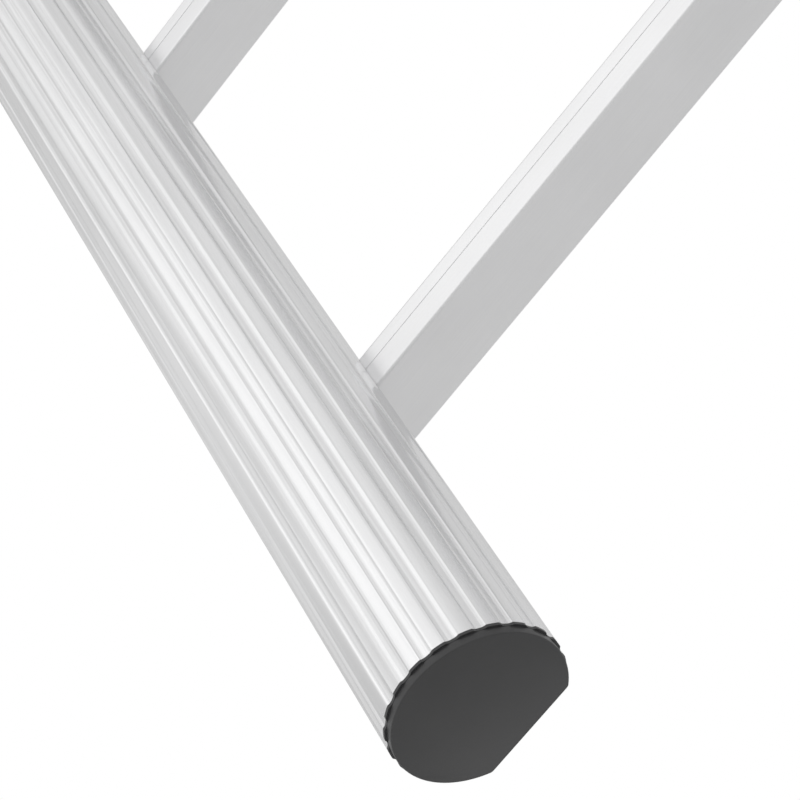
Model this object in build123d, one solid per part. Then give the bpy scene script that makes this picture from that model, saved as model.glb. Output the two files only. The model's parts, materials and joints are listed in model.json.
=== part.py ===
from build123d import *
import math
import os

# Two-section sliding attic ladder, hung by its top from a plate on the hatch frame.
# Millimetres, +Z up, +X to the climber's right, +Y away from the climber.
# It is drawn with Z = 0 at the feet and Y = 0 at the lower stiles' axes, and is
# saved with its origin at the middle of the hatch plate's back face.

# ---- stile extrusion -----------------------------------------------------------------
stile_radius = 35.0
stile_wall = 2.1            # under the bottom of a flute
stile_spacing = 360.0       # from axis to axis
flat_offset = 27.6          # from the axis to the stile's flat
flat_wall = 2.6
flat_corner_radius = 1.2
flute_count = 21            # round a full circle
flute_depth = 0.8
flute_half_angle = 4.4
flute_phase = -93.0         # one flute's direction, in degrees from +X
flute_edge_margin = 2.0     # least angle between a flute and the flat

# ---- rungs ---------------------------------------------------------------------------
rungs_per_section = 6
rung_pitch = 259.0
foot_margin = 170.0         # from the foot to the first rung's middle
top_margin = 120.0          # from the last rung's middle to the top
rung_depth = 34.6
rung_height = 19.0
rung_wall = 1.6
rung_corner = 1.5
rung_back_offset = 44.2     # the rung's back face, behind the stile's axis
rung_end_depth = 10.0       # where a rung ends behind the stile, from its axis
rung_fit = 0.12             # round the rung in its slot
slot_end_gap = 0.4          # past the rung's end in its slot
swage_lip = 2.4             # how far the swaged collar stands out from the rung
swage_thickness = 2.0
swage_fit = 0.15
tread_groove_pitch = 3.4
tread_groove_count = 8
tread_groove_width = 1.2
tread_groove_depth = 0.45
face_groove_width = 0.5
face_groove_depth = 0.15
face_groove_height = 1.8    # above the rung's middle

# ---- rung saddles ----------------------------------------------------------------------
# A slot in the stile's back corner takes a rung, and a riveted saddle holds it there.
saddle_thickness = 2.5
saddle_inner_edge = 7.4     # from the stile's axis, past the rung's end
saddle_outer_edge = 19.5
saddle_foot = 13.0
saddle_fit = 0.05
saddle_bend = 2.4
saddle_pass_gap = 3.0       # between the two sections' saddles as they pass

# ---- end caps ------------------------------------------------------------------------
cap_thickness = 4.8
cap_flange = 1.2            # the part of it that follows the flutes
cap_rim_inset = 0.9         # from the stile's outline to the smooth disc
cap_rim_bevel = 0.6
cap_skirt_length = 22.0
cap_skirt_wall = 2.0
cap_skirt_fit = 0.1

# ---- sliding fit between the sections --------------------------------------------------
overlap_rungs = 2           # rung spaces shared when fully extended
glide_clearance = 0.5
glide_width = 21.0
glide_middle = -6.5         # from the stile's axis, clear of the rung ends
glide_height = 40.0
glide_bevel = 0.8
stud_radius = 3.0
stud_fit = 0.1
stud_head_radius = 3.7
stud_head_length = 1.6
end_to_glide = 24.0         # from a section's end to its glide pad, past the cap's skirt
stop_height = 18.0
stop_gap = 0.3

guide_thickness = 3.5
guide_height = 50.0
guide_seat = 0.1            # round its own stile
guide_clearance = 0.5       # round the stile that slides in it
guide_inner_edge = 14.0     # from the axes, on the side away from the rungs
guide_reach = 22.0          # past each axis
end_to_upper_guide = 22.0
end_to_lower_guide = 120.0
rivet_radius = 2.4
rivet_hole_radius = 2.5
rivet_head_radius = 5.0
rivet_head_height = 1.8
rivet_bulb_radius = 3.6
rivet_bulb_length = 4.0
bulb_room = 0.3
rivet_spread = 28.0
boss_radius = 7.5
boss_height = 0.8

# ---- rung latch ----------------------------------------------------------------------
latch_raised_angle = 105.0
latch_pivot_back = 22.6     # from the lower rung's back face to the pivot
latch_pivot_rise = 10.0     # from the lower rung's top to the pivot
latch_pin_radius = 4.0
latch_pin_fit = 0.08
latch_pin_head_radius = 6.0
latch_pin_head = 1.5
hook_thickness = 5.0
hook_middle = 128.0         # from the ladder's centre plane
hook_eye_radius = 9.0
hook_back = 8.0             # arm above the pivot's line
hook_seat_gap = 3.0         # above the rung
hook_side_gap = 3.2         # in front of the rung
hook_lip_width = 8.0
hook_lip_length = 15.5
hook_corner = 5.0
latch_bar_radius = 5.0
latch_bar_along = 22.0      # from the pivot, along the arm
latch_bar_rise = 2.5
latch_tenon_radius = 3.5
latch_tenon_fit = 0.05
eye_ring_radius = 12.0
eye_wire_radius = 2.5
eye_collar_radius = 8.0
eye_collar_length = 14.0
ear_thickness = 2.5
ear_gap = 2.0               # between an ear and the hook
ear_radius = 8.0
ear_plate_thickness = 2.5
ear_plate_inner = 98.0      # the plate's end nearest to the centre plane
ear_plate_drop = 8.0        # below the rung's middle
ear_rung_gap = 0.3          # above the rung that it is riveted to
ear_neck_drop = 4.0         # from the pivot down to the necks, clear of the swinging bar
ear_rivet_middle = 108.5
ear_rivet_spread = 11.0
latch_stop_back = 10.0      # from the pivot to the wall that the raised hook leans on
latch_stop_wall = 2.5
latch_stop_gap = 0.4

# ---- hatch mount ---------------------------------------------------------------------
pivot_to_top = 60.0
pivot_bolt_radius = 5.0
pivot_fit = 0.06
pivot_bush_radius = 8.0
pivot_bush_fit = 0.05
pivot_bush_end = 0.3        # past each side of the stile
pivot_end_gap = 0.3
cheek_gap = 7.0             # from the stile's side to the bracket's cheek
cheek_thickness = 4.0
cheek_ear_radius = 22.0
spacer_radius = 11.0
washer_radius = 10.0
washer_thickness = 2.0
pivot_hex = 17.0
pivot_head_height = 6.4
pivot_nut_height = 8.4
pivot_thread_end = 2.0
plate_thickness = 4.0
plate_height = 60.0
plate_half_length = 284.0
plate_corner = 6.0
plate_below_pivot = 45.0
plate_behind_stile = 6.0
bracket_foot_width = 32.0
bracket_bolt_radius = 3.0
bracket_bolt_fit = 0.05
bracket_bolt_clearance = 0.3
bracket_bolt_hex = 10.0
bracket_bolt_head = 4.0
bracket_bolt_spread = 36.0
screw_hole_radius = 3.5
screw_spread_x = 536.0
screw_spread_z = 36.0
middle_screw_spread = 140.0
bumper_radius = 11.0
bumper_gap = 0.3
bumper_stem_radius = 3.0
bumper_stem_fit = 0.1
bumper_stem_recess = 0.4
bumper_bevel = 1.5

# ---- worked out from the sizes above ---------------------------------------------------
flute_pitch = 360.0 / flute_count
flat_gap = 2 * (rung_back_offset + saddle_thickness - flat_offset) + saddle_pass_gap
bore_radius = stile_radius - flute_depth - stile_wall
bore_flat = flat_offset - flat_wall
saddle_middle = (saddle_inner_edge + saddle_outer_edge) / 2
section_length = foot_margin + (rungs_per_section - 1) * rung_pitch + top_margin
section_lift = (rungs_per_section - overlap_rungs) * rung_pitch
section_offset = 2 * flat_offset + flat_gap
half_spacing = stile_spacing / 2
rung_middle_y = rung_back_offset - rung_depth / 2
glide_thickness = flat_gap - glide_clearance
guide_outer = stile_radius + guide_thickness

latch_rung_z = section_lift + foot_margin
latch_y = rung_back_offset + latch_pivot_back
latch_z = latch_rung_z + rung_height / 2 + latch_pivot_rise

pivot_z = section_lift + section_length - pivot_to_top
cheek_inner = half_spacing + stile_radius + cheek_gap
cheek_outer = cheek_inner + cheek_thickness
plate_front = section_offset + stile_radius + plate_behind_stile
plate_back = plate_front + plate_thickness
plate_top = pivot_z - plate_below_pivot
plate_middle = plate_top - plate_height / 2

to_mount = Pos(0, -plate_back, -plate_middle)


# ---- small helpers ---------------------------------------------------------------------
def block(x0, x1, y0, y1, z0, z1):
    middle = Pos((x0 + x1) / 2, (y0 + y1) / 2, (z0 + z1) / 2)
    return middle * Box(abs(x1 - x0), abs(y1 - y0), abs(z1 - z0))


def rod_x(radius, x0, x1, y=0.0, z=0.0):
    return Pos((x0 + x1) / 2, y, z) * Rot(0, 90, 0) * Cylinder(radius, abs(x1 - x0))


def rod_y(radius, y0, y1, x=0.0, z=0.0):
    return Pos(x, (y0 + y1) / 2, z) * Rot(90, 0, 0) * Cylinder(radius, abs(y1 - y0))


def hexagon(across):
    return RegularPolygon(across / 2, 6, major_radius=False)


def hex_x(across, x0, x1, y, z):
    plane = Plane((min(x0, x1), y, z), x_dir=(0, 1, 0), z_dir=(1, 0, 0))
    return extrude(plane * hexagon(across), abs(x1 - x0))


def hex_y(across, y0, y1, x, z):
    plane = Plane((x, min(y0, y1), z), x_dir=(1, 0, 0), z_dir=(0, 1, 0))
    return extrude(plane * hexagon(across), abs(y1 - y0))


def polar(radius, degrees):
    turn = math.radians(degrees)
    return (radius * math.cos(turn), radius * math.sin(turn))


def save(name, *shapes):
    solids = [solid for shape in shapes for solid in shape.solids()]
    placed = [to_mount * solid for solid in solids]
    export_step(placed[0] if len(placed) == 1 else Compound(children=placed), f"parts/{name}.step")


# A section's own frame: the left stile's axis at X = 0, its flat towards +Y, the rungs
# towards +X and the foot at Z = 0. These two put a shape of the left side in its place.
def in_section(shape, upper):
    if not upper:
        return shape
    return Pos(0, section_offset, section_lift) * mirror(shape, about=Plane.XZ)


def on_side(shape, side, upper):
    placed = Pos(-half_spacing, 0, 0) * shape
    if side == "right":
        placed = mirror(placed, about=Plane.YZ)
    return in_section(placed, upper)


# ---- stile -----------------------------------------------------------------------------
def flute_angles():
    corner = math.degrees(math.acos(flat_offset / stile_radius))
    limit = corner + flute_half_angle + flute_edge_margin
    angles = []
    for index in range(flute_count):
        angle = (flute_phase + index * flute_pitch) % 360.0
        if abs(angle - 90.0) > limit:
            angles.append(angle)
    return sorted(angles, key=lambda angle: (angle - 90.0) % 360.0)


def stile_arc(start, end, middle_radius):
    middle = polar(middle_radius, (start + end) / 2)
    return ThreePointArc(polar(stile_radius, start), middle, polar(stile_radius, end))


def stile_outline():
    corner = math.degrees(math.acos(flat_offset / stile_radius))
    last = 90.0 + corner
    edges = []
    for angle in flute_angles():
        centre = angle if angle > 90.0 else angle + 360.0
        edges.append(stile_arc(last, centre - flute_half_angle, stile_radius))
        last = centre + flute_half_angle
        edges.append(stile_arc(centre - flute_half_angle, last, stile_radius - flute_depth))
    end = 450.0 - corner
    edges.append(stile_arc(last, end, stile_radius))
    edges.append(Line(polar(stile_radius, end), polar(stile_radius, 90.0 + corner)))
    face = make_face(edges)
    corners = face.vertices().filter_by_position(Axis.Y, flat_offset - 0.01, flat_offset + 0.01)
    return fillet(corners, flat_corner_radius)


def d_shape(radius, flat, corner_radius):
    face = Circle(radius) - Pos(0, flat + radius) * Rectangle(2 * radius, 2 * radius)
    corners = face.vertices().filter_by_position(Axis.Y, flat - 0.01, flat + 0.01)
    return fillet(corners, corner_radius)


def rung_slot(z):
    """Open at the flat, and a little wider than the rung that lies in it."""
    front = rung_back_offset - rung_depth - rung_fit
    back = rung_back_offset + rung_fit
    start = rung_end_depth - slot_end_gap
    face = Plane((start, (front + back) / 2, z), x_dir=(0, 1, 0), z_dir=(1, 0, 0))
    outline = face * RectangleRounded(back - front, rung_height + 2 * rung_fit, rung_corner)
    return extrude(outline, stile_radius + 1 - start)


def rung_heights():
    return [foot_margin + index * rung_pitch for index in range(rungs_per_section)]


def rivet_heights(guide_bottom):
    middle = guide_bottom + guide_height / 2
    return [middle - rivet_spread / 2, middle + rivet_spread / 2]


def stud_heights(bottom, height):
    return [bottom + height / 4, bottom + height * 3 / 4]


def stile(guide_bottom, studs, pivot=False):
    body = extrude(stile_outline(), section_length - 2 * cap_thickness)
    body -= extrude(d_shape(bore_radius, bore_flat, flat_corner_radius), section_length)
    body = Pos(0, 0, cap_thickness) * body
    for z in rung_heights():
        body -= rung_slot(z)
        for rivet_z in saddle_rivet_heights(z):
            body -= rod_y(rivet_hole_radius, 0, stile_radius, saddle_middle, rivet_z)
    for z in rivet_heights(guide_bottom):
        body -= rod_x(rivet_hole_radius, -stile_radius - 1, 0, 0, z)
    for z in studs:
        body -= rod_y(stud_radius + stud_fit, 0, stile_radius, glide_middle, z)
    if pivot:
        reach = stile_radius + 1
        body -= rod_x(pivot_bush_radius + pivot_bush_fit, -reach, reach, 0, section_length - pivot_to_top)
    return body


# ---- rung ------------------------------------------------------------------------------
def rung_tube(half_length):
    plane = Plane((-half_length, rung_middle_y, 0), x_dir=(0, 1, 0), z_dir=(1, 0, 0))
    outer = plane * RectangleRounded(rung_depth, rung_height, rung_corner)
    inner = plane * Rectangle(rung_depth - 2 * rung_wall, rung_height - 2 * rung_wall)
    tube = extrude(outer, 2 * half_length) - extrude(inner, 2 * half_length)
    top = rung_height / 2
    first = rung_middle_y - (tread_groove_count - 1) * tread_groove_pitch / 2
    for index in range(tread_groove_count):
        y = first + index * tread_groove_pitch
        half = tread_groove_width / 2
        tube -= block(-half_length, half_length, y - half, y + half, top - tread_groove_depth, top)
    front = rung_back_offset - rung_depth
    low = face_groove_height - face_groove_width / 2
    high = face_groove_height + face_groove_width / 2
    tube -= block(-half_length, half_length, front, front + face_groove_depth, low, high)
    return tube


def swage_collar():
    outer = Cylinder(bore_radius - swage_fit, 2 * rung_height)
    shell = outer - Cylinder(bore_radius - swage_fit - swage_thickness, 2 * rung_height)
    front = rung_back_offset - rung_depth
    reach = rung_height / 2 + swage_lip
    shell &= block(0, stile_radius, front - swage_lip, bore_flat - swage_fit, -reach, reach)
    inside = rung_wall / 2
    half = rung_height / 2 - inside
    shell -= block(0, stile_radius, front + inside, rung_back_offset - inside, -half, half)
    return Pos(-half_spacing, 0, 0) * shell


def saddle_rivet_heights(z):
    rise = rung_height / 2 + saddle_fit + saddle_thickness + saddle_foot / 2
    return [z - rise, z + rise]


def saddle(z):
    """A pressed cup round the part of a rung that stands out behind the flat."""
    half = rung_height / 2 + saddle_fit
    back = rung_back_offset + saddle_fit
    outer_half = half + saddle_thickness
    outer_back = back + saddle_thickness
    width = saddle_outer_edge - saddle_inner_edge
    plane = Plane((saddle_inner_edge, 0, z), x_dir=(0, 1, 0), z_dir=(1, 0, 0))
    outer = RectangleRounded(2 * outer_back, 2 * outer_half, saddle_bend)
    behind_flat = Pos(flat_offset + outer_back) * Rectangle(2 * outer_back, 4 * outer_half)
    body = extrude(plane * (outer & behind_flat), width)
    foot_end = z + outer_half + saddle_foot
    foot_back = flat_offset + saddle_thickness
    feet = block(
        saddle_inner_edge, saddle_outer_edge, flat_offset, foot_back, 2 * z - foot_end, foot_end
    )
    body += feet
    wall_end = saddle_inner_edge + saddle_thickness
    body -= block(wall_end, saddle_outer_edge, 0, back, z - half, z + half)
    for rivet_z in saddle_rivet_heights(z):
        body -= rod_y(rivet_hole_radius, 0, outer_back, saddle_middle, rivet_z)
    return body


def saddle_rivet(z):
    rivet = blind_rivet(-saddle_thickness, flat_wall + bulb_room)
    return Pos(saddle_middle, flat_offset, z) * Rot(0, 0, -90) * rivet


def rung(carries_latch):
    collar = swage_collar()
    body = rung_tube(half_spacing - rung_end_depth)
    body += collar
    body += mirror(collar, about=Plane.YZ)
    if carries_latch:
        for x in ear_rivet_places():
            for side in (-1, 1):
                hole_front = rung_back_offset - 2 * rung_wall
                body -= rod_y(rivet_hole_radius, hole_front, rung_back_offset + 1, side * x, 0)
    return body


# ---- end cap ---------------------------------------------------------------------------
def end_cap():
    disc_outline = d_shape(stile_radius - cap_rim_inset, flat_offset - cap_rim_inset, flat_corner_radius)
    disc = extrude(disc_outline, cap_thickness - cap_flange)
    disc = chamfer(disc.faces().sort_by(Axis.Z)[0].edges(), cap_rim_bevel)
    flange = Pos(0, 0, cap_thickness - cap_flange) * extrude(stile_outline(), cap_flange)
    skirt_outline = d_shape(bore_radius - cap_skirt_fit, bore_flat - cap_skirt_fit, flat_corner_radius)
    hollow_radius = bore_radius - cap_skirt_fit - cap_skirt_wall
    hollow_outline = d_shape(hollow_radius, bore_flat - cap_skirt_fit - cap_skirt_wall, flat_corner_radius)
    skirt = extrude(skirt_outline, cap_skirt_length) - extrude(hollow_outline, cap_skirt_length)
    return disc + flange + Pos(0, 0, cap_thickness) * skirt


def top_cap():
    return Pos(0, 0, section_length) * mirror(end_cap(), about=Plane.XY)


# ---- sliding guides, glide pads and stops ------------------------------------------------
def guide(bottom):
    other = Pos(0, section_offset)
    between = Pos(0, section_offset / 2)
    inner_radius = stile_radius + guide_clearance
    outer = Circle(guide_outer) + other * Circle(guide_outer)
    outer += between * Rectangle(2 * guide_outer, section_offset)
    inner = Circle(stile_radius + guide_seat) + other * Circle(inner_radius)
    inner += between * Rectangle(2 * inner_radius, section_offset)
    width = guide_outer - guide_inner_edge
    length = section_offset + 2 * guide_reach
    strip = Pos(-guide_inner_edge - width / 2, section_offset / 2) * Rectangle(width, length)
    body = Pos(0, 0, bottom) * extrude((outer - inner) & strip, guide_height)
    for z in rivet_heights(bottom):
        body += rod_x(boss_radius, -guide_outer - boss_height, -stile_radius - guide_thickness / 2, 0, z)
        body -= rod_x(rivet_hole_radius, -guide_outer - boss_height, 0, 0, z)
    return body


def blind_rivet(head_seat, wall_inside):
    """Along X: its head seated at head_seat, facing -X, and its bulb behind wall_inside."""
    head = rod_x(rivet_head_radius, head_seat - rivet_head_height, head_seat)
    head = fillet(head.faces().sort_by(Axis.X)[0].edges(), rivet_head_height * 0.8)
    shank = rod_x(rivet_radius, head_seat, wall_inside + rivet_bulb_length / 2)
    bulb = rod_x(rivet_bulb_radius, wall_inside, wall_inside + rivet_bulb_length)
    return head + shank + bulb


def guide_rivet(z):
    return Pos(0, 0, z) * blind_rivet(-guide_outer - boss_height, -bore_radius + bulb_room)


def flat_block(bottom, height):
    seat = flat_offset
    low = glide_middle - glide_width / 2
    body = block(low, low + glide_width, seat, seat + glide_thickness, bottom, bottom + height)
    body = chamfer(body.faces().sort_by(Axis.Y)[-1].edges(), glide_bevel)
    for z in stud_heights(bottom, height):
        head_end = bore_flat - stud_head_length
        body += rod_y(stud_radius, head_end, seat, glide_middle, z)
        body += rod_y(stud_head_radius, head_end, bore_flat - stud_fit, glide_middle, z)
    return body


# ---- latch -----------------------------------------------------------------------------
# It is drawn hooked on the rung, with its pivot at the origin and its arm along -Y,
# and raised by raise_latch.
def raise_latch(shape):
    return Pos(0, latch_y, latch_z) * Rot(-latch_raised_angle, 0, 0) * shape


def hook_outline():
    rung_front = latch_pivot_back + rung_depth
    throat_end = rung_front + hook_side_gap
    tip = throat_end + hook_lip_width
    seat = hook_seat_gap - latch_pivot_rise
    arm = Pos(-tip / 2, (seat + hook_back) / 2) * Rectangle(tip, hook_back - seat)
    arm = fillet(arm.vertices().group_by(Axis.X)[0].sort_by(Axis.Y)[-1:], hook_corner)
    lip_top = seat + 1.0
    lip_bottom = seat - hook_lip_length
    lip_middle = Pos(-tip + hook_lip_width / 2, (lip_top + lip_bottom) / 2)
    lip = lip_middle * Rectangle(hook_lip_width, lip_top - lip_bottom)
    lip = fillet(lip.vertices().group_by(Axis.Y)[0], hook_lip_width * 0.3)
    return arm + lip + Circle(hook_eye_radius) - Circle(latch_pin_radius + latch_pin_fit)


def latch_hook(side_sign):
    tenon_hole = Pos(-latch_bar_along, latch_bar_rise) * Circle(latch_tenon_radius + latch_tenon_fit)
    outline = hook_outline() - tenon_hole
    x = side_sign * hook_middle - hook_thickness / 2
    face = Plane((x, 0, 0), x_dir=(0, 1, 0), z_dir=(1, 0, 0)) * outline
    return raise_latch(extrude(face, hook_thickness))


def latch_bar():
    inner = hook_middle - hook_thickness / 2 - latch_tenon_fit
    outer = hook_middle + hook_thickness / 2
    bar = rod_x(latch_bar_radius, -inner, inner, -latch_bar_along, latch_bar_rise)
    bar += rod_x(latch_tenon_radius, -outer, outer, -latch_bar_along, latch_bar_rise)
    return raise_latch(bar)


def latch_pull_eye():
    centre = Pos(0, -latch_bar_along, latch_bar_rise)
    collar = rod_x(eye_collar_radius, -eye_collar_length / 2, eye_collar_length / 2)
    ring = Pos(0, -eye_collar_radius - eye_ring_radius, 0) * Torus(eye_ring_radius, eye_wire_radius)
    body = collar + ring
    body -= rod_x(latch_bar_radius + latch_tenon_fit, -eye_collar_length, eye_collar_length)
    return raise_latch(centre * body)


def ear_positions():
    near = hook_middle - hook_thickness / 2 - ear_gap
    far = hook_middle + hook_thickness / 2 + ear_gap
    return (near - ear_thickness, near), (far, far + ear_thickness)


def latch_bracket():
    """The right-hand one, riveted to the upper section's lowest rung, with its ears above it."""
    face_y = section_offset - rung_back_offset
    plate_y = face_y - ear_plate_thickness
    rung_top = latch_rung_z + rung_height / 2
    ear_low = rung_top + ear_rung_gap
    ear_high = latch_z + ear_radius
    stop_front = latch_y + latch_stop_back
    stop_back = stop_front + latch_stop_wall
    lean = math.radians(latch_raised_angle - 90.0)
    touch = (stop_front - latch_stop_gap - latch_y - hook_back * math.cos(lean)) / math.sin(lean)
    stop_top = latch_z + touch * math.cos(lean) - hook_back * math.sin(lean)
    (inner_low, inner_high), (outer_low, outer_high) = ear_positions()
    body = block(ear_plate_inner, outer_high, plate_y, face_y, latch_rung_z - ear_plate_drop, rung_top)
    body += block(inner_high, outer_low, stop_front, stop_back, ear_low, stop_top)
    for x0, x1 in ((inner_low, inner_high), (outer_low, outer_high)):
        body += block(x0, x1, plate_y, face_y, rung_top, latch_z - ear_neck_drop)
        body += block(x0, x1, face_y, stop_back, ear_low, ear_high)
        body -= rod_x(latch_pin_radius + latch_pin_fit, x0 - 1, x1 + 1, latch_y, latch_z)
    for x in ear_rivet_places():
        body -= rod_y(rivet_hole_radius, plate_y - 1, face_y + 1, x, latch_rung_z)
    return body


def ear_rivet_places():
    return [ear_rivet_middle - ear_rivet_spread / 2, ear_rivet_middle + ear_rivet_spread / 2]


def latch_pin():
    (x0, _), (_, x1) = ear_positions()
    pin = rod_x(latch_pin_radius, x0, x1, latch_y, latch_z)
    gap = 0.1
    for end, way in ((x0, -1), (x1, 1)):
        seat = end + way * gap
        tip = seat + way * latch_pin_head
        pin += rod_x(latch_pin_radius, end, tip, latch_y, latch_z)
        pin += rod_x(latch_pin_head_radius, seat, tip, latch_y, latch_z)
    return pin


def latch_rivet(x):
    face_y = section_offset - rung_back_offset
    rivet = blind_rivet(-ear_plate_thickness, rung_wall + 0.1)
    return Pos(x, face_y, latch_rung_z) * Rot(0, 0, 90) * rivet


# ---- hatch mount -------------------------------------------------------------------------
def hatch_plate():
    plane = Plane((0, plate_front, plate_middle), x_dir=(1, 0, 0), z_dir=(0, -1, 0))
    outline = plane * RectangleRounded(2 * plate_half_length, plate_height, plate_corner)
    body = extrude(outline, -plate_thickness)
    for x in (-screw_spread_x / 2, screw_spread_x / 2):
        for z in (-screw_spread_z / 2, screw_spread_z / 2):
            body -= rod_y(screw_hole_radius, plate_front - 1, plate_back + 1, x, plate_middle + z)
    for x in (-middle_screw_spread / 2, middle_screw_spread / 2):
        body -= rod_y(screw_hole_radius, plate_front - 1, plate_back + 1, x, plate_middle)
    for x, z in bracket_bolt_places():
        hole = bracket_bolt_radius + bracket_bolt_fit
        body -= rod_y(hole, plate_front - 1, plate_back + 1, x, z)
    for x in (-half_spacing, half_spacing):
        hole = bumper_stem_radius + bumper_stem_fit
        body -= rod_y(hole, plate_front - 1, plate_back + 1, x, plate_middle)
    return body


def bracket_bolt_places():
    x = cheek_outer + bracket_foot_width / 2
    rise = bracket_bolt_spread / 2
    return [(side * x, plate_middle + z) for side in (-1, 1) for z in (-rise, rise)]


def hatch_bracket():
    """The right-hand one: a cheek that carries the pivot, and a foot bolted to the plate."""
    low = plate_middle - plate_height / 2
    foot_front = plate_front - cheek_thickness
    cheek_front = section_offset
    plane = Plane((cheek_inner, 0, 0), x_dir=(0, 1, 0), z_dir=(1, 0, 0))
    base = Rectangle(plate_front - cheek_front, plate_height)
    base = Pos((cheek_front + plate_front) / 2, plate_middle) * base
    ear = Pos(section_offset, pivot_z) * Circle(cheek_ear_radius)
    outline = make_hull((base + ear).edges())
    body = extrude(plane * outline, cheek_thickness)
    body += block(cheek_outer, cheek_outer + bracket_foot_width, foot_front, plate_front, low, plate_top)
    corner = body.edges().filter_by(Axis.Z).filter_by_position(Axis.X, cheek_inner - 0.1, cheek_inner + 0.1)
    body = fillet(corner.sort_by(Axis.Y)[-1:], cheek_thickness * 0.9)
    body -= rod_x(pivot_bolt_radius + pivot_fit, cheek_inner - 1, cheek_outer + 1, section_offset, pivot_z)
    for x, z in bracket_bolt_places():
        body -= rod_y(bracket_bolt_radius + bracket_bolt_clearance, foot_front - 1, plate_front + 1, x, z)
    return body


def bracket_bolt(x, z):
    seat = plate_front - cheek_thickness
    body = hex_y(bracket_bolt_hex, seat - bracket_bolt_head, seat, x, z)
    return body + rod_y(bracket_bolt_radius, seat, plate_back - bumper_stem_recess, x, z)


def pivot_bush():
    reach = stile_radius + pivot_bush_end
    sleeve = rod_x(pivot_bush_radius, half_spacing - reach, half_spacing + reach, section_offset, pivot_z)
    return sleeve - rod_x(pivot_bolt_radius + pivot_fit, 0, 2 * half_spacing, section_offset, pivot_z)


def pivot_bolt_ends():
    stile_inside = half_spacing - stile_radius - pivot_bush_end - pivot_end_gap
    nut_seat = stile_inside - washer_thickness
    return stile_inside, nut_seat, nut_seat - pivot_nut_height


def pivot_bolt():
    end = pivot_bolt_ends()[2] - pivot_thread_end
    body = rod_x(pivot_bolt_radius, end, cheek_outer, section_offset, pivot_z)
    return body + hex_x(pivot_hex, cheek_outer, cheek_outer + pivot_head_height, section_offset, pivot_z)


def pivot_spacer():
    inner_end = half_spacing + stile_radius + pivot_bush_end + pivot_end_gap
    body = rod_x(spacer_radius, inner_end, cheek_inner, section_offset, pivot_z)
    return body - rod_x(pivot_bolt_radius + pivot_fit, 0, 2 * half_spacing, section_offset, pivot_z)


def pivot_washer():
    face, nut_seat, _ = pivot_bolt_ends()
    body = rod_x(washer_radius, nut_seat, face, section_offset, pivot_z)
    return body - rod_x(pivot_bolt_radius + pivot_fit, 0, 2 * half_spacing, section_offset, pivot_z)


def pivot_nut():
    _, nut_seat, nut_end = pivot_bolt_ends()
    body = hex_x(pivot_hex, nut_end, nut_seat, section_offset, pivot_z)
    return body - rod_x(pivot_bolt_radius + pivot_fit, 0, 2 * half_spacing, section_offset, pivot_z)


def bumper():
    face = section_offset + stile_radius + bumper_gap
    body = rod_y(bumper_radius, face, plate_front, half_spacing, plate_middle)
    body = chamfer(body.faces().sort_by(Axis.Y)[0].edges(), bumper_bevel)
    stem_end = plate_back - bumper_stem_recess
    return body + rod_y(bumper_stem_radius, plate_front, stem_end, half_spacing, plate_middle)


def left(shape):
    return mirror(shape, about=Plane.YZ)


# ---- sections: everything of one section, in its own frame --------------------------------
def save_section(name, upper, guide_bottom, flat_blocks, foot_name, top_name):
    studs = [z for _, bottom, height in flat_blocks for z in stud_heights(bottom, height)]
    one_stile = stile(guide_bottom, studs, pivot=upper)
    one_guide = guide(guide_bottom)
    foot = end_cap()
    top = top_cap()
    for side in ("left", "right"):
        save(f"{name}_stile_{side}", on_side(one_stile, side, upper))
        save(f"{foot_name}_{side}", on_side(foot, side, upper))
        save(f"{top_name}_{side}", on_side(top, side, upper))
        save(f"{name}_guide_{side}", on_side(one_guide, side, upper))
        for block_name, bottom, height in flat_blocks:
            save(f"{block_name}_{side}", on_side(flat_block(bottom, height), side, upper))
    for index, z in enumerate(rung_heights(), start=1):
        carries_latch = upper and index == 1
        save(f"{name}_rung_{index}", in_section(Pos(0, 0, z) * rung(carries_latch), upper))
    saddles = [saddle(z) for z in rung_heights()]
    left_saddles = [on_side(piece, "left", upper) for piece in saddles]
    right_saddles = [on_side(piece, "right", upper) for piece in saddles]
    save(f"{name}_rung_saddles", *left_saddles, *right_saddles)
    rivets = [guide_rivet(z) for z in rivet_heights(guide_bottom)]
    for rung_z in rung_heights():
        rivets += [saddle_rivet(z) for z in saddle_rivet_heights(rung_z)]
    left_rivets = [on_side(rivet, "left", upper) for rivet in rivets]
    right_rivets = [on_side(rivet, "right", upper) for rivet in rivets]
    save(f"{name}_rivets", *left_rivets, *right_rivets)


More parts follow.
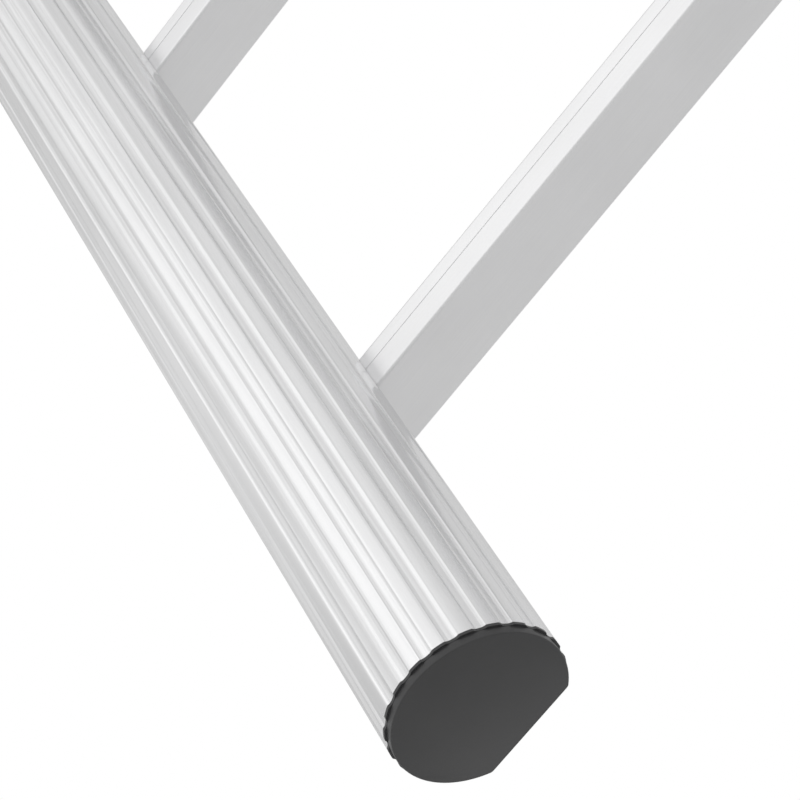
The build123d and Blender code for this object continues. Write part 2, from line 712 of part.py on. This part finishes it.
def main():
    os.makedirs("parts", exist_ok=True)
    upper_glide_bottom = end_to_glide
    lower_glide_bottom = section_length - end_to_glide - glide_height
    stop_bottom = section_lift + upper_glide_bottom + glide_height + stop_gap
    lower_blocks = [
        ("lower_glide_block", lower_glide_bottom, glide_height),
        ("extension_stop", stop_bottom, stop_height),
    ]
    upper_blocks = [("upper_glide_block", upper_glide_bottom, glide_height)]
    lower_guide_bottom = section_length - end_to_lower_guide - guide_height
    save_section("lower", False, lower_guide_bottom, lower_blocks, "foot_cap", "lower_top_cap")
    save_section("upper", True, end_to_upper_guide, upper_blocks, "upper_bottom_cap", "upper_top_cap")

    save("latch_hook_left", latch_hook(-1))
    save("latch_hook_right", latch_hook(1))
    save("latch_bar", latch_bar())
    save("latch_pull_eye", latch_pull_eye())
    save("latch_bracket_left", left(latch_bracket()))
    save("latch_bracket_right", latch_bracket())
    save("latch_pin_left", left(latch_pin()))
    save("latch_pin_right", latch_pin())
    latch_rivets = [latch_rivet(x) for x in ear_rivet_places()]
    save("latch_bracket_rivets", *latch_rivets, *[left(rivet) for rivet in latch_rivets])

    save("hatch_plate", hatch_plate())
    save("hatch_bracket_left", left(hatch_bracket()))
    save("hatch_bracket_right", hatch_bracket())
    save("bracket_bolts", *[bracket_bolt(x, z) for x, z in bracket_bolt_places()])
    save("pivot_bush_left", left(pivot_bush()))
    save("pivot_bush_right", pivot_bush())
    save("pivot_bolt_left", left(pivot_bolt()))
    save("pivot_bolt_right", pivot_bolt())
    save("pivot_spacers", pivot_spacer(), left(pivot_spacer()))
    save("pivot_washers", pivot_washer(), left(pivot_washer()))
    save("pivot_nuts", pivot_nut(), left(pivot_nut()))
    save("bumper_left", left(bumper()))
    save("bumper_right", bumper())


main()
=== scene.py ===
import json
import math

import bpy
from mathutils import Matrix, Vector


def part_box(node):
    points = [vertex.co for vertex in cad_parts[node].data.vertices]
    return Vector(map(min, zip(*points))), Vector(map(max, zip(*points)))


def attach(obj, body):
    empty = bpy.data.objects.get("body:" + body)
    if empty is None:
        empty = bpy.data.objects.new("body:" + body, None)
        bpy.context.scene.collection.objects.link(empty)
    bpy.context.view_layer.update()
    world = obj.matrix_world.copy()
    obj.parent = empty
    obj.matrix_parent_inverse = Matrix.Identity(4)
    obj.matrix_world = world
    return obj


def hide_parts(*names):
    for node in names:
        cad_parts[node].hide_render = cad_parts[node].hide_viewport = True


# A two-section attic ladder hanging from its hatch plate. Metres, +Z up, +Y away from the climber.
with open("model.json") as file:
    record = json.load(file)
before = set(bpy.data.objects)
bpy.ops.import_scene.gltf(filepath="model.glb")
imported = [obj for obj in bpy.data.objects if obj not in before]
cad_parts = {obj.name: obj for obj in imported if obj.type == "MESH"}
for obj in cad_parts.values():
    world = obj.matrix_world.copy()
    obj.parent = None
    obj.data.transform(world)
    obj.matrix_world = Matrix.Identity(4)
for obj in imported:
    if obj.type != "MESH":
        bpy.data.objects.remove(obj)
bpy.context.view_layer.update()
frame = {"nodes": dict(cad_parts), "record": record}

MM = 0.001

# ---- the stile extrusion, as it is drawn -------------------------------------------------
FLAT = 27.6 * MM              # from the axis to the flat
FLAT_WALL = 2.6 * MM
FLAT_CORNER = 1.2 * MM
FLUTES = 21                   # round a full circle
FLUTE_DEPTH = 0.8 * MM
FLUTE_HALF_ANGLE = 4.4        # degrees
FLUTE_PHASE = -93.0           # one flute's direction, in degrees from +X
FLUTE_EDGE_MARGIN = 2.0       # degrees between a flute and the flat's corner
STEPS_PER_FLUTE = 20
WALL = 2.1 * MM
CREASE = 15.0                 # degrees: keeps the flutes' shoulders sharp
OVERRUN = 1.0 * MM            # a cutter past what it cuts
NEAR = 0.01 * MM              # how close counts as on a plane
BUSH_FIT = 0.05 * MM          # round the pivot bush in its bore

# ---- rungs and caps ----------------------------------------------------------------------
RUNG_DEPTH = 34.6 * MM
RUNG_HEIGHT = 19.0 * MM
RUNG_BACK = 44.2 * MM         # from the stile's axis to the rung's back face
RUNG_CORNER = 1.5 * MM
SLOT_FIT = 0.12 * MM
SLOT_START = 9.6 * MM         # from the stile's axis to the slot's closed end
CAP_FLANGE = 1.2 * MM
CAP_RIM_INSET = 0.9 * MM
CAP_RIM_BEVEL = 0.6 * MM
SKIRT_FIT = 0.1 * MM          # round the skirt in the stile's bore
SKIRT_WALL = 2.0 * MM
SKIRT_LENGTH = 22.0 * MM
SKIRT_FLOOR = 0.5 * MM        # solid behind the flange

# ---- read from the frame -----------------------------------------------------------------
stile_low, stile_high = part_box("lower_stile_left")
FOOT_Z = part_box("foot_cap_left")[0].z
STILE_X = (stile_low.x + stile_high.x) / 2          # the left stiles' axis
STILE_RADIUS = 35.0 * MM
LOWER_Y = stile_high.y - FLAT
UPPER_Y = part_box("upper_stile_left")[0].y + FLAT
CAP_THICKNESS = stile_low.z - FOOT_Z
BORE_RADIUS = STILE_RADIUS - FLUTE_DEPTH - WALL
FLUTE_PITCH = 360.0 / FLUTES


# ==== modelling helpers =====================================================================
def add(name, primitive, **how):
    """A new primitive, alone in the selection, with its place applied to its mesh."""
    bpy.ops.object.select_all(action="DESELECT")
    primitive(**how)
    piece = bpy.context.object
    piece.name = name
    bpy.ops.object.transform_apply(location=True, rotation=True, scale=True)
    return piece


def activate(piece):
    bpy.ops.object.select_all(action="DESELECT")
    piece.select_set(True)
    bpy.context.view_layer.objects.active = piece


def pick(piece, kind, test):
    """Goes into edit mode with only the vertices, edges or faces selected whose middle passes."""
    activate(piece)
    mesh = piece.data
    for group in (mesh.vertices, mesh.edges, mesh.polygons):
        group.foreach_set("select", [False] * len(group))
    points = [v.co for v in mesh.vertices]
    if kind == "VERT":
        for v in mesh.vertices:
            v.select = test(v.co)
    elif kind == "EDGE":
        for e in mesh.edges:
            a, b = (points[i] for i in e.vertices)
            e.select = test((a + b) / 2, b - a)
            for i in e.vertices:
                mesh.vertices[i].select = mesh.vertices[i].select or e.select
    else:
        for f in mesh.polygons:
            f.select = test(f.center, f.normal)
    bpy.ops.object.mode_set(mode="EDIT")
    bpy.ops.mesh.select_mode(type=kind)


def done():
    bpy.ops.object.mode_set(mode="OBJECT")


def recalculate(piece):
    activate(piece)
    bpy.ops.object.mode_set(mode="EDIT")
    bpy.ops.mesh.select_all(action="SELECT")
    bpy.ops.mesh.normals_make_consistent(inside=False)
    done()


def apply_modifier(piece, kind, **values):
    activate(piece)
    modifier = piece.modifiers.new(kind.lower(), kind)
    for key, value in values.items():
        setattr(modifier, key, value)
    bpy.ops.object.modifier_apply(modifier=modifier.name)


def cut(piece, cutter):
    apply_modifier(piece, "BOOLEAN", operation="DIFFERENCE", solver="EXACT", object=cutter)
    bpy.data.objects.remove(cutter)


def smooth(piece, degrees=30.0):
    activate(piece)
    bpy.ops.object.shade_smooth_by_angle(angle=math.radians(degrees))


def join(pieces):
    activate(pieces[0])
    for piece in pieces:
        piece.select_set(True)
    bpy.ops.object.join()
    return pieces[0]


def copied(piece, name):
    twin = piece.copy()
    twin.data = piece.data.copy()
    twin.name = name
    bpy.context.scene.collection.objects.link(twin)
    return twin


def moved(piece, matrix):
    """Moves a mesh itself; a mirrored one has its faces turned out again."""
    piece.data.transform(matrix)
    if matrix.determinant() < 0:
        piece.data.flip_normals()
    return piece


def to_side(side, upper):
    """From the drawing of a lower left stile (axis on Z, flat to +Y, rungs to +X) to its place."""
    place = Matrix.Translation((STILE_X, 0, 0))
    if side == "right":
        place = Matrix.Diagonal((-1, 1, 1, 1)) @ place
    if not upper:
        return Matrix.Translation((0, LOWER_Y, 0)) @ place
    return Matrix.Translation((0, UPPER_Y, 0)) @ Matrix.Diagonal((1, -1, 1, 1)) @ place


# ==== materials =============================================================================
def new_material(name):
    material = bpy.data.materials.new(name)
    material.use_nodes = True
    nodes = material.node_tree.nodes
    links = material.node_tree.links
    return material, nodes, links, nodes["Principled BSDF"]


def object_noise(nodes, links, stretch, scale, detail=4.0, roughness=0.55):
    place = nodes.new("ShaderNodeTexCoord")
    mapping = nodes.new("ShaderNodeMapping")
    mapping.inputs["Scale"].default_value = stretch
    noise = nodes.new("ShaderNodeTexNoise")
    noise.inputs["Scale"].default_value = scale
    noise.inputs["Detail"].default_value = detail
    noise.inputs["Roughness"].default_value = roughness
    links.new(place.outputs["Object"], mapping.inputs["Vector"])
    links.new(mapping.outputs["Vector"], noise.inputs["Vector"])
    return noise.outputs["Fac"]


def ramp(nodes, links, source, low, high, start=0.3, end=0.7):
    node = nodes.new("ShaderNodeValToRGB")
    node.color_ramp.elements[0].position = start
    node.color_ramp.elements[0].color = (*low, 1.0)
    node.color_ramp.elements[1].position = end
    node.color_ramp.elements[1].color = (*high, 1.0)
    links.new(source, node.inputs["Fac"])
    return node.outputs["Color"]


def spread(nodes, links, source, low, high):
    node = nodes.new("ShaderNodeMapRange")
    node.inputs["To Min"].default_value = low
    node.inputs["To Max"].default_value = high
    links.new(source, node.inputs["Value"])
    return node.outputs["Result"]


def bump(nodes, links, height, shader, strength, distance):
    node = nodes.new("ShaderNodeBump")
    node.inputs["Strength"].default_value = strength
    node.inputs["Distance"].default_value = distance
    links.new(height, node.inputs["Height"])
    links.new(node.outputs["Normal"], shader.inputs["Normal"])


def grey(value, tint=0.0):
    return (value, value, value * (1.0 + tint))


def drawn_aluminium(name, along, bright, rough):
    """Satin extruded aluminium: fine drawing lines along one axis and a faint cloudy bloom."""
    material, nodes, links, shader = new_material(name)
    fine = {"X": (1.0, 60.0, 60.0), "Z": (60.0, 60.0, 1.0)}[along]
    grain = object_noise(nodes, links, fine, 40.0, detail=5.0, roughness=0.7)
    bloom = object_noise(nodes, links, (1.0, 1.0, 1.0), 22.0, detail=3.0)
    colour = ramp(nodes, links, grain, grey(bright * 0.955, 0.006), grey(bright, 0.006))
    tint = nodes.new("ShaderNodeMix")
    tint.data_type = "RGBA"
    tint.blend_type = "MULTIPLY"
    tint.inputs["Factor"].default_value = 1.0
    links.new(colour, tint.inputs["A"])
    links.new(ramp(nodes, links, bloom, grey(0.965), grey(1.0)), tint.inputs["B"])
    links.new(tint.outputs["Result"], shader.inputs["Base Color"])
    shader.inputs["Metallic"].default_value = 1.0
    links.new(spread(nodes, links, grain, rough - 0.05, rough + 0.07), shader.inputs["Roughness"])
    bump(nodes, links, grain, shader, 0.12, 0.00012)
    return material


def moulded_plastic(name, colour, rough, texture=0.25):
    """Moulded plastic with the fine pebbled grain of its tool and slightly uneven gloss."""
    material, nodes, links, shader = new_material(name)
    pebble = object_noise(nodes, links, (1.0, 1.0, 1.0), 1400.0, detail=2.0)
    cloud = object_noise(nodes, links, (1.0, 1.0, 1.0), 60.0, detail=3.0)
    low = tuple(c * 0.88 for c in colour)
    links.new(ramp(nodes, links, cloud, low, colour), shader.inputs["Base Color"])
    links.new(spread(nodes, links, cloud, rough - 0.06, rough + 0.06), shader.inputs["Roughness"])
    bump(nodes, links, pebble, shader, texture, 0.0001)
    return material


def plated_steel(name, colour, rough):
    """Zinc-plated steel: mottled plating over rolled sheet, with faint wiping marks."""
    material, nodes, links, shader = new_material(name)
    spangle = object_noise(nodes, links, (1.0, 1.0, 1.0), 180.0, detail=6.0, roughness=0.65)
    wipe = object_noise(nodes, links, (6.0, 1.0, 1.0), 30.0, detail=4.0)
    low = tuple(c * 0.8 for c in colour)
    links.new(ramp(nodes, links, spangle, low, colour), shader.inputs["Base Color"])
    shader.inputs["Metallic"].default_value = 1.0
    links.new(spread(nodes, links, wipe, rough - 0.08, rough + 0.1), shader.inputs["Roughness"])
    bump(nodes, links, spangle, shader, 0.15, 0.0001)
    return material


def bumper_rubber(name):
    material, nodes, links, shader = new_material(name)
    dust = object_noise(nodes, links, (1.0, 1.0, 1.0), 300.0, detail=5.0)
    links.new(ramp(nodes, links, dust, (0.018,) * 3, (0.035,) * 3), shader.inputs["Base Color"])
    links.new(spread(nodes, links, dust, 0.7, 0.85), shader.inputs["Roughness"])
    bump(nodes, links, dust, shader, 0.3, 0.0002)
    return material


MATERIALS = {
    "stile_aluminium": drawn_aluminium("satin_stile_extrusion", "Z", 0.87, 0.22),
    "rung_aluminium": drawn_aluminium("satin_rung_tube", "X", 0.90, 0.34),
    "cap_plastic": moulded_plastic("black_cap_plastic", (0.044, 0.044, 0.045), 0.40),
    "guide_nylon": moulded_plastic("black_guide_nylon", (0.040, 0.040, 0.042), 0.55, 0.4),
    "glide_nylon": moulded_plastic("natural_glide_nylon", (0.74, 0.72, 0.66), 0.42),
    "rivet_aluminium": drawn_aluminium("rivet_aluminium", "X", 0.80, 0.28),
    "saddle_steel": plated_steel("zinc_saddle_steel", (0.58, 0.59, 0.60), 0.36),
    "latch_steel": plated_steel("zinc_latch_steel", (0.62, 0.63, 0.65), 0.34),
    "mount_steel": plated_steel("zinc_mount_steel", (0.60, 0.61, 0.62), 0.38),
    "fastener_steel": plated_steel("bright_fastener_steel", (0.66, 0.65, 0.60), 0.28),
    "bumper_rubber": bumper_rubber("black_bumper_rubber"),
}
SLOT_OF = {row["node"]: row["material_slot"] for row in frame["record"]["subparts"]}
BODY_OF = {node: body for body, nodes in frame["record"]["behaviour"]["bodies"].items() for node in nodes}


def paint(piece, slot):
    piece.data.materials.clear()
    piece.data.materials.append(MATERIALS[slot])


def stand_in(piece, node):
    """The piece takes a CAD node's place, its body and its material slot."""
    paint(piece, SLOT_OF[node])
    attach(piece, BODY_OF[node])
    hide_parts(node)


# ==== the stiles ============================================================================
def turn_of(point):
    return math.degrees(math.atan2(point.y, point.x))


def from_flute(point):
    """Degrees from a point of the outline to the middle of the nearest flute."""
    return (turn_of(point) - FLUTE_PHASE + FLUTE_PITCH / 2) % FLUTE_PITCH - FLUTE_PITCH / 2


def flute_is_kept(point):
    centre = turn_of(point) - from_flute(point)
    corner = math.degrees(math.acos(FLAT / STILE_RADIUS))
    away = abs((centre - 90.0 + 180.0) % 360.0 - 180.0)
    return away > corner + FLUTE_HALF_ANGLE + FLUTE_EDGE_MARGIN


def cut_flat(piece, offset, corner):
    """Cuts a round face off at the flat and rounds the two corners."""
    pick(piece, "FACE", lambda middle, normal: True)
    bpy.ops.mesh.bisect(plane_co=(0, offset, 0), plane_no=(0, 1, 0), clear_outer=True)
    done()
    pick(piece, "VERT", lambda p: abs(p.y - offset) < NEAR)
    bpy.ops.mesh.bevel(offset=corner, segments=4, affect="VERTICES")
    done()


def fluted_face(name):
    """The stile's outline: a round face pressed in at each flute, then cut at the flat."""
    piece = add(
        name,
        bpy.ops.mesh.primitive_circle_add,
        vertices=FLUTES * STEPS_PER_FLUTE,
        radius=STILE_RADIUS,
        fill_type="NGON",
        rotation=(0, 0, math.radians(FLUTE_PHASE)),
    )
    step = FLUTE_PITCH / STEPS_PER_FLUTE
    for ring in range(math.ceil(FLUTE_HALF_ANGLE / step) + 1):
        share = ring * step / FLUTE_HALF_ANGLE
        depth = FLUTE_DEPTH * (1.0 - share**3)
        if depth <= 0:
            continue
        turn = ring * step
        pick(piece, "VERT", lambda p: abs(abs(from_flute(p)) - turn) < step / 4 and flute_is_kept(p))
        size = 1.0 - depth / STILE_RADIUS
        bpy.ops.transform.resize(value=(size, size, 1), center_override=(0, 0, 0))
        done()
    cut_flat(piece, FLAT, FLAT_CORNER)
    return piece


def d_face(name, radius, flat, corner, points=96):
    piece = add(name, bpy.ops.mesh.primitive_circle_add, vertices=points, radius=radius, fill_type="NGON")
    cut_flat(piece, flat, corner)
    return piece


def extrude_up(piece, low, high):
    """Makes a flat face at Z = 0 a solid from low to high."""
    pick(piece, "FACE", lambda middle, normal: True)
    bpy.ops.transform.translate(value=(0, 0, low))
    bpy.ops.mesh.extrude_region_move(TRANSFORM_OT_translate={"value": (0, 0, high - low)})
    done()
    recalculate(piece)


def rung_slot(z):
    """A cutter for the slot in the stile's back corner that a rung lies in."""
    front = RUNG_BACK - RUNG_DEPTH - SLOT_FIT
    back = RUNG_BACK + SLOT_FIT
    reach = STILE_RADIUS + 2 * OVERRUN - SLOT_START
    piece = add(
        "slot_cutter",
        bpy.ops.mesh.primitive_cube_add,
        size=1.0,
        location=(SLOT_START + reach / 2, (front + back) / 2, z),
        scale=(reach, back - front, RUNG_HEIGHT + 2 * SLOT_FIT),
    )
    pick(piece, "EDGE", lambda middle, run: abs(run.x) > reach / 2)
    bpy.ops.mesh.bevel(offset=RUNG_CORNER, segments=4)
    done()
    return piece


def stile(section, first_node):
    """One drawn stile of a section: flutes, flat, bore and rung slots."""
    low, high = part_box(first_node)
    piece = fluted_face(f"{section}_stile_drawn")
    extrude_up(piece, low.z, high.z)
    bore = d_face("bore_cutter", BORE_RADIUS, FLAT - FLAT_WALL, FLAT_CORNER)
    extrude_up(bore, low.z - OVERRUN, high.z + OVERRUN)
    cut(piece, bore)
    heights = [middle_z(f"{section}_rung_{number}") for number in range(1, 7)]
    cut(piece, join([rung_slot(z) for z in heights]))
    if section == "upper":
        bush_low, bush_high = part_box("pivot_bush_left")
        cut(piece, add(
            "pivot_cutter",
            bpy.ops.mesh.primitive_cylinder_add,
            vertices=48,
            radius=(bush_high.z - bush_low.z) / 2 + BUSH_FIT,
            depth=3 * STILE_RADIUS,
            location=(0, 0, (bush_low.z + bush_high.z) / 2),
            rotation=(0, math.pi / 2, 0),
        ))
    return piece


def middle_z(node):
    low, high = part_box(node)
    return (low.z + high.z) / 2


def make_stiles():
    for section in ("lower", "upper"):
        drawn = stile(section, f"{section}_stile_left")
        for side in ("left", "right"):
            node = f"{section}_stile_{side}"
            piece = copied(drawn, f"{section}_{side}_fluted_stile")
            moved(piece, to_side(side, section == "upper"))
            smooth(piece, CREASE)
            stand_in(piece, node)
        bpy.data.objects.remove(drawn)


# ==== the end caps ==========================================================================
def cap():
    """An end cap drawn at a foot, its face down at Z = 0: fluted flange, plain disc and skirt."""
    flange = fluted_face("cap_flange")
    extrude_up(flange, CAP_THICKNESS - CAP_FLANGE, CAP_THICKNESS)
    disc_radius = STILE_RADIUS - CAP_RIM_INSET
    disc = d_face("cap_disc", disc_radius, FLAT - CAP_RIM_INSET, FLAT_CORNER, points=128)
    extrude_up(disc, 0, CAP_THICKNESS - CAP_FLANGE)
    pick(disc, "EDGE", lambda middle, run: middle.z < NEAR)
    bpy.ops.mesh.bevel(offset=CAP_RIM_BEVEL, segments=3)
    done()
    skirt_radius = BORE_RADIUS - SKIRT_FIT
    skirt_flat = FLAT - FLAT_WALL - SKIRT_FIT
    skirt_top = CAP_THICKNESS + SKIRT_LENGTH
    skirt = d_face("cap_skirt", skirt_radius, skirt_flat, FLAT_CORNER)
    extrude_up(skirt, CAP_THICKNESS, skirt_top)
    hollow = d_face("cap_hollow", skirt_radius - SKIRT_WALL, skirt_flat - SKIRT_WALL, FLAT_CORNER)
    extrude_up(hollow, CAP_THICKNESS + SKIRT_FLOOR, skirt_top + OVERRUN)
    cut(skirt, hollow)
    return join([disc, flange, skirt])


def make_caps():
    drawn = cap()
    for prefix in ("foot_cap", "lower_top_cap", "upper_bottom_cap", "upper_top_cap"):
        at_top = "top" in prefix
        for side in ("left", "right"):
            node = f"{prefix}_{side}"
            low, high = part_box(node)
            turn = Matrix.Diagonal((1, 1, -1, 1)) if at_top else Matrix.Identity(4)
            lift = Matrix.Translation((0, 0, high.z if at_top else low.z))
            piece = copied(drawn, f"{node}_moulded")
            moved(piece, to_side(side, prefix.startswith("upper")) @ lift @ turn)
            smooth(piece, CREASE)
            stand_in(piece, node)
    bpy.data.objects.remove(drawn)


# ==== pieces finished from their CAD shape ====================================================
SAME_POINT = 1e-6             # metres between vertices that are joined
SAME_PLANE = 0.5              # degrees between facets that are joined
SHARP_EDGE = 40.0             # degrees from which an edge is broken


def dressed(node, edge):
    """A copy of a CAD node's mesh with its facets joined and its edges broken."""
    source = frame["nodes"][node]
    piece = source.copy()
    piece.data = source.data.copy()
    piece.parent = None
    for key in list(piece.keys()):
        del piece[key]
    piece.name = f"{node}_finished"
    bpy.context.scene.collection.objects.link(piece)
    activate(piece)
    bpy.ops.object.mode_set(mode="EDIT")
    bpy.ops.mesh.select_all(action="SELECT")
    bpy.ops.mesh.remove_doubles(threshold=SAME_POINT)
    bpy.ops.mesh.dissolve_limited(angle_limit=math.radians(SAME_PLANE))
    done()
    if edge:
        sharp = math.radians(SHARP_EDGE)
        apply_modifier(piece, "BEVEL", width=edge, segments=2, limit_method="ANGLE", angle_limit=sharp)
    smooth(piece)
    apply_modifier(piece, "WEIGHTED_NORMAL", keep_sharp=True, weight=100)
    stand_in(piece, node)


EDGES = {
    "rung_aluminium": 0.0,
    "guide_nylon": 0.5 * MM,
    "glide_nylon": 0.3 * MM,
    "latch_steel": 0.4 * MM,
    "saddle_steel": 0.3 * MM,
    "mount_steel": 0.4 * MM,
    "fastener_steel": 0.3 * MM,
    "rivet_aluminium": 0.0,
    "bumper_rubber": 0.3 * MM,
}


def make_the_rest():
    for node, slot in SLOT_OF.items():
        if slot in EDGES:
            dressed(node, EDGES[slot])


# ==== floor, light and camera ===============================================================
FLOOR_DROP = 1.0              # the floor below the hanging foot
FLOOR_WIDTH = 24.0
SOFTBOX_WIDTH = 3.0
SOFTBOX_WATTS = 6.0
CAMERA_FROM_FOOT = Vector((7.913, -18.094, -16.176))   # in stile radii, from the left foot's middle
CAMERA_LOOK = Vector((-0.242, 0.651, 0.720))
CAMERA_UP = Vector((0.746, -0.349, 0.567))
LENS = 115.3


def make_floor():
    height = FOOT_Z - FLOOR_DROP
    plane = bpy.ops.mesh.primitive_plane_add
    floor = add("studio_floor", plane, size=FLOOR_WIDTH, location=(0, 0, height))
    material, nodes, links, shader = new_material("pale_studio_floor")
    speckle = object_noise(nodes, links, (1.0, 1.0, 1.0), 9.0, detail=6.0)
    links.new(ramp(nodes, links, speckle, grey(0.80), grey(0.84)), shader.inputs["Base Color"])
    shader.inputs["Roughness"].default_value = 0.7
    floor.data.materials.append(material)


def make_light():
    """A white room of upright panels, brightest in front of the ladder, and a large softbox there."""
    world = bpy.data.worlds.new("white_studio")
    bpy.context.scene.world = world
    world.use_nodes = True
    nodes, links = world.node_tree.nodes, world.node_tree.links
    background = nodes["Background"]
    place = nodes.new("ShaderNodeTexCoord")
    split = nodes.new("ShaderNodeSeparateXYZ")
    links.new(place.outputs["Generated"], split.inputs["Vector"])
    front = nodes.new("ShaderNodeMapRange")
    front.interpolation_type = "SMOOTHSTEP"
    front.inputs["From Min"].default_value = 0.1
    front.inputs["From Max"].default_value = -0.85
    front.inputs["To Min"].default_value = 0.72
    front.inputs["To Max"].default_value = 0.94
    links.new(split.outputs["Y"], front.inputs["Value"])
    seen = nodes.new("ShaderNodeLightPath")
    pick_white = nodes.new("ShaderNodeMix")
    links.new(seen.outputs["Is Camera Ray"], pick_white.inputs["Factor"])
    strips = nodes.new("ShaderNodeTexWave")
    strips.bands_direction = "X"
    strips.inputs["Scale"].default_value = 1.3
    strips.inputs["Phase Offset"].default_value = 1.2
    links.new(place.outputs["Generated"], strips.inputs["Vector"])
    panels = spread(nodes, links, strips.outputs["Fac"], 0.82, 1.14)
    lit = nodes.new("ShaderNodeMath")
    lit.operation = "MULTIPLY"
    links.new(front.outputs["Result"], lit.inputs[0])
    links.new(panels, lit.inputs[1])
    links.new(lit.outputs["Value"], pick_white.inputs["A"])
    pick_white.inputs["B"].default_value = 1.0
    links.new(pick_white.outputs["Result"], background.inputs["Color"])
    softbox = bpy.data.lights.new("front_softbox", "AREA")
    softbox.shape = "RECTANGLE"
    softbox.size = softbox.size_y = SOFTBOX_WIDTH
    softbox.energy = SOFTBOX_WATTS
    lamp = bpy.data.objects.new("front_softbox", softbox)
    bpy.context.scene.collection.objects.link(lamp)
    lamp.location = (-0.3, -4.0, FOOT_Z + 3.2)
    aim = Vector((0, 0, FOOT_Z + 0.3)) - lamp.location
    lamp.rotation_euler = aim.to_track_quat("-Z", "Y").to_euler()
    lamp.visible_camera = False


def make_camera():
    data = bpy.data.cameras.new("view")
    data.lens = LENS
    data.sensor_width = 36.0
    camera = bpy.data.objects.new("view", data)
    bpy.context.scene.collection.objects.link(camera)
    look = CAMERA_LOOK.normalized()
    right = look.cross(CAMERA_UP).normalized()
    up = right.cross(look)
    foot = Vector((STILE_X, LOWER_Y, FOOT_Z))
    camera.matrix_world = Matrix.Translation(foot + CAMERA_FROM_FOOT * STILE_RADIUS) @ Matrix(
        (right, up, -look)
    ).transposed().to_4x4()
    bpy.context.scene.camera = camera


make_camera()
make_light()
make_floor()
make_stiles()
make_caps()
make_the_rest()

bpy.context.scene.view_settings.view_transform = "Standard"
